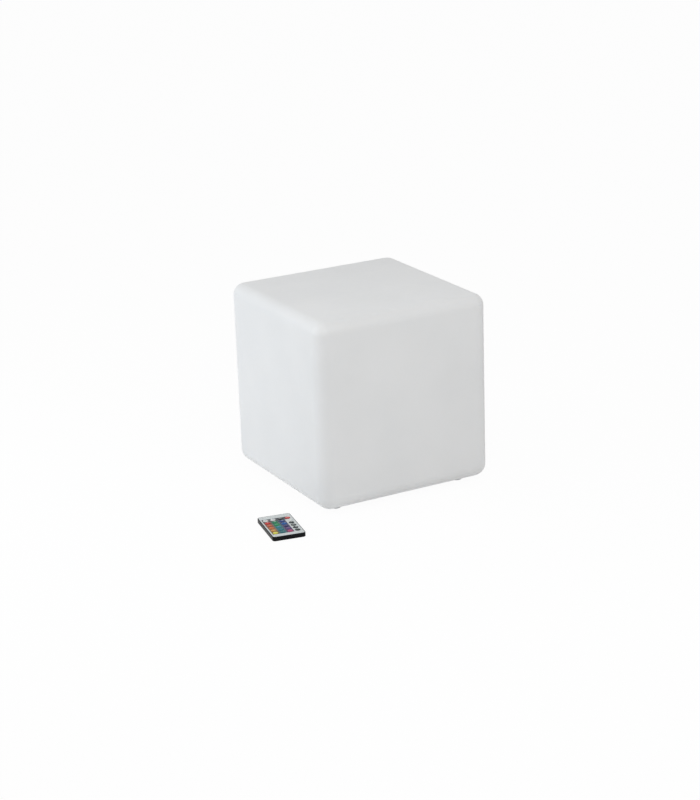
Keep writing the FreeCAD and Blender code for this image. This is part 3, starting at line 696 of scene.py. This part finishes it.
def key_finish(name, colour):
    material, shader, place = new_finish(
        "key_" + name, Subsurface_Weight=0.08, Subsurface_Scale=0.0006, Specular_IOR_Level=0.22)
    radius = far_from_middle(place)
    # ring: painted shade, partly dust, that darkens the colour and dulls it towards the foot of the dome.
    ring = spread(radius, shade_ring_start * mm, key_radius * mm)
    fine = noise(place, 0.3 * mm)
    wear = spread(noise(place, 2.2 * mm, 3.0), 0.4, 0.7)
    pale = tuple(c + (0.9 - c) * 0.06 for c in colour)
    feed(shader,
         Base_Color=tint(ring * 0.55, tint(wear * 0.5, colour, pale), tuple(c * 0.35 for c in colour)),
         Roughness=sway(fine, 0.30, 0.40) + ring * 0.15 - wear * 0.04,
         Normal=relief(fine, 0.01 * mm))
    return material


print("key finish ready")

# %% [markdown]
# ## Twenty-four keys
# The colours go row by row, from the infrared lamp's end down to the battery's. Each key is turned, put
# in its place, and rides on the body of its CAD key, so that it moves when that is pressed.

# %% Keys
key_colours = {
    "white": (0.70, 0.71, 0.70), "black": (0.018, 0.018, 0.021), "red": (0.54, 0.028, 0.022),
    "green": (0.008, 0.205, 0.085), "navy": (0.013, 0.042, 0.190), "orange_red": (0.500, 0.095, 0.036),
    "light_green": (0.018, 0.280, 0.100), "blue": (0.012, 0.095, 0.330), "dark_grey": (0.032, 0.041, 0.042),
    "orange": (0.520, 0.145, 0.038), "cyan": (0.010, 0.205, 0.265), "violet": (0.030, 0.024, 0.120),
    "amber": (0.570, 0.265, 0.050), "teal": (0.009, 0.160, 0.210), "purple": (0.105, 0.045, 0.180),
    "yellow": (0.660, 0.600, 0.070), "dark_teal": (0.008, 0.130, 0.150), "pink": (0.420, 0.048, 0.145)}
key_rows = [("white", "white", "black", "red"), ("red", "green", "navy", "white"),
            ("orange_red", "light_green", "blue", "dark_grey"), ("orange", "cyan", "violet", "dark_grey"),
            ("amber", "teal", "purple", "dark_grey"), ("yellow", "dark_teal", "pink", "dark_grey")]
key_finishes = {name: key_finish(name, colour) for name, colour in key_colours.items()}

for row, names in enumerate(key_rows):
    for column, name in enumerate(names):
        node = "key_r%d_c%d" % (row + 1, column + 1)
        piece = lathe(node + "_dome", key_section)
        piece.data.materials.append(key_finishes[name])
        piece.location = on_handset(key_u[column], key_v[row])
        piece.rotation_euler.z = handset_turn
        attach(piece, node)
        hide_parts(node)
        dressed.add(node)
print(len(key_rows) * 4, "keys turned")

# %% [markdown]
# ## Ink on a dome
# A mark could be a mask in the key's finish, but a shape of its own has crisp edges from near and stays
# a separate piece. It starts flat, is cut into small faces, and each corner is lifted onto the dome, a
# hundredth of a millimetre above it, as a soft pad lays ink.

# %% Laying marks
ink_height = 0.012


def laid_on_dome(name, mesh):
    """Cuts the flat faces up, lifts every corner onto the dome, and makes an object of them."""
    bmesh.ops.triangulate(mesh, faces=mesh.faces[:])
    bmesh.ops.subdivide_edges(mesh, edges=mesh.edges[:], cuts=3, use_grid_fill=True)
    for corner in mesh.verts:
        x, y = corner.co.x, corner.co.y
        corner.co = Vector((x, y, dome_height(math.hypot(x, y)) + ink_height)) * mm
    return as_piece(name, mesh)


print("marks lie %.3f mm above the dome" % ink_height)

# %% [markdown]
# ## Marks on the keys
# Only plain marks are printed: brighter and dimmer triangles, OFF and ON, the letters of the four lamp
# colours, and small signs for flash, strobe, fade and a slow change. Letters come from a text object that
# is turned into a mesh, and the signs are outlines of a few points, in millimetres.

# %% Shapes of the marks
def lettering(text, size):
    """The faces of a short text, in millimetres round its middle."""
    words = bpy.data.curves.new("words", "FONT")
    words.body, words.size, words.resolution_u = text, size, 3
    words.align_x, words.align_y, words.offset = "CENTER", "CENTER", 0.03
    holder = bpy.data.objects.new("words", words)
    bpy.context.scene.collection.objects.link(holder)
    bpy.context.view_layer.update()
    flat = bpy.data.meshes.new_from_object(holder)
    mesh = bmesh.new()
    mesh.from_mesh(flat)
    bpy.data.objects.remove(holder)
    bpy.data.meshes.remove(flat)
    return mesh


def outlines(*loops):
    mesh = bmesh.new()
    for loop in loops:
        mesh.faces.new([mesh.verts.new((x, y, 0)) for x, y in loop])
    return mesh


triangle = [(-1.25, -0.85), (1.25, -0.85), (0, 1.15)]
bolt = [(0.45, 1.75), (-1.0, -0.15), (-0.1, -0.15), (-0.45, -1.75), (1.0, 0.30), (0.1, 0.30)]
bars = [[(x, -1.2), (x + 0.5, -1.2), (x + 0.5, 1.2), (x, 1.2)] for x in (-1.45, -0.25, 0.95)]
wedge = [(-1.8, -0.75), (1.8, -0.75), (1.8, 0.85)]
wave_steps = [i / 12 for i in range(13)]
wave = [(3.4 * t - 1.7, 0.65 * math.sin(2 * math.pi * t) + 0.22) for t in wave_steps]
wave += [(3.4 * t - 1.7, 0.65 * math.sin(2 * math.pi * t) - 0.22) for t in reversed(wave_steps)]
marks = {"key_r1_c1": outlines(triangle), "key_r1_c2": outlines([(-x, -y) for x, y in triangle]),
         "key_r1_c3": lettering("OFF", 2.7), "key_r1_c4": lettering("ON", 3.0),
         "key_r2_c1": lettering("R", 3.4), "key_r2_c2": lettering("G", 3.4),
         "key_r2_c3": lettering("B", 3.4), "key_r2_c4": lettering("W", 3.2),
         "key_r3_c4": outlines(bolt), "key_r4_c4": outlines(*bars),
         "key_r5_c4": outlines(wedge), "key_r6_c4": outlines(wave)}
print(len(marks), "marks drawn")

# %% [markdown]
# ## Ink
# Ink is a little duller than the key and wears thin in spots. White keys take dark ink, all others pale.

# %% Ink
def ink_finish(name, colour):
    material, shader, place = new_finish(name, Coat_Weight=0.2, Coat_Roughness=0.3)
    worn = noise(place, 0.6 * mm, 3.0)
    feed(shader,
         Base_Color=tint(worn, colour, tuple(c * 0.85 for c in colour)),
         Roughness=sway(worn, 0.40, 0.52),
         Normal=relief(worn, 0.004 * mm))
    return material


pale_ink = ink_finish("pale_ink", (0.72, 0.73, 0.72))
dark_ink = ink_finish("dark_ink", (0.045, 0.045, 0.055))
for node, mesh in marks.items():
    row, column = int(node[5]) - 1, int(node[8]) - 1
    piece = laid_on_dome(node + "_mark", mesh)
    piece.data.materials.append(dark_ink if key_rows[row][column] == "white" else pale_ink)
    piece.location = on_handset(key_u[column], key_v[row])
    piece.rotation_euler.z = handset_turn
    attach(piece, node)
print(len(marks), "marks printed")

# %% [markdown]
# ## What a ray is for
# Light Path tells a material which kind of ray has hit it. Rays from the camera, off a gloss or through
# clear plastic should find white paper. All others carry light from surface to surface.

# %% Rays
def seen_straight(tree):
    """1 for rays from the camera, from a gloss or through clear plastic."""
    path = tree.nodes.new("ShaderNodeLightPath")
    ray = {name: Strand(path.outputs[name]) for name in
           ("Is Camera Ray", "Is Glossy Ray", "Is Transmission Ray")}
    eye_or_gloss = ray["Is Camera Ray"].maths("MAXIMUM", ray["Is Camera Ray"], ray["Is Glossy Ray"])
    return eye_or_gloss.maths("MAXIMUM", eye_or_gloss, ray["Is Transmission Ray"])


print("rays can be told apart")

# %% [markdown]
# ## The floor
# The studio floor and its backdrop are one pale sweep. To read as white paper it gives off white where
# the camera, a mirror or clear plastic looks at it, mixed with a plain white surface that still takes
# the soft shadow. For all other rays it is only the plain surface, so it lights nothing by itself. It lies
# a tenth of a millimetre under the feet, because two faces at one height would flicker.

# %% Floor
floor_half, floor_drop, paper_glow = 20.0, 0.1 * mm, 0.96
floor_mesh = bmesh.new()
bmesh.ops.create_grid(floor_mesh, x_segments=8, y_segments=8, size=floor_half)
bmesh.ops.translate(floor_mesh, vec=(0, 0, -floor_drop), verts=floor_mesh.verts)
floor = as_piece("floor", floor_mesh)

paper, paper_shader, paper_place = new_finish("studio_paper")
feed(paper_shader,
     Base_Color=tint(noise(paper_place, 300 * mm), (0.88, 0.88, 0.88), (0.90, 0.90, 0.90)),
     Roughness=sway(noise(paper_place, 10 * mm), 0.85, 0.95))
paper_tree = paper.node_tree
glow = paper_tree.nodes.new("ShaderNodeEmission")
glow.inputs["Strength"].default_value = 1.0
seen = seen_straight(paper_tree)
sweep = seen.node("MixShader", {}, {0: seen * paper_glow, 1: Strand(paper_shader.outputs[0]),
                                   2: Strand(glow.outputs[0])})
paper_tree.links.new(sweep.socket, paper_tree.nodes["Material Output"].inputs["Surface"])
floor.data.materials.append(paper)
print("floor laid")

# %% [markdown]
# ## Light
# A pale cube needs even light, or its faces clip to white or fall to grey. The room itself gives most of
# it, from all sides, and where it is seen straight it is white. A large soft panel to the left and above
# makes the left face the brightest and a little cooler, and a weaker white one in front lifts the rounded
# edges between top and front.

# %% Room light and panels
room = bpy.data.worlds.new("room")
room.use_nodes = True
bpy.context.scene.world = room
room_tree = room.node_tree
soft, white = room_tree.nodes["Background"], room_tree.nodes.new("ShaderNodeBackground")
for background, strength in ((soft, 0.535), (white, 1.0)):
    background.inputs["Color"].default_value = (1.0, 1.0, 1.0, 1)
    background.inputs["Strength"].default_value = strength
seen = seen_straight(room_tree)
around = seen.node("MixShader", {}, {0: seen, 1: Strand(soft.outputs[0]), 2: Strand(white.outputs[0])})
room_tree.links.new(around.socket, room_tree.nodes["World Output"].inputs["Surface"])
cube_middle = Vector((0, 0, 0.15))


def panel(name, direction, distance, size, watts, colour):
    """A square lamp that looks at the cube from this direction."""
    lamp = bpy.data.lights.new(name, "AREA")
    lamp.shape, lamp.size, lamp.energy, lamp.color = "SQUARE", size, watts, colour
    holder = bpy.data.objects.new(name, lamp)
    bpy.context.scene.collection.objects.link(holder)
    towards = Vector(direction).normalized()
    holder.location = cube_middle + towards * distance
    holder.rotation_euler = towards.to_track_quat("Z", "Y").to_euler()
    holder.visible_camera = False
    print(name, "at", [round(c, 2) for c in holder.location], "with", watts, "W")


panel("left_panel", (-1.0, 0.34, 0.42), 1.4, 0.9, 6.7, (0.89, 0.945, 1.0))
panel("front_panel", (-0.12, -0.88, 0.9), 1.4, 0.9, 5.5, (1.0, 1.0, 1.0))

# %% [markdown]
# ## Closing
# The last lines list the nodes that kept the plain finish they came with.

# %% Nodes left plain
left_plain = sorted(set(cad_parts) - dressed)
print("nodes with no finish of their own:", left_plain)
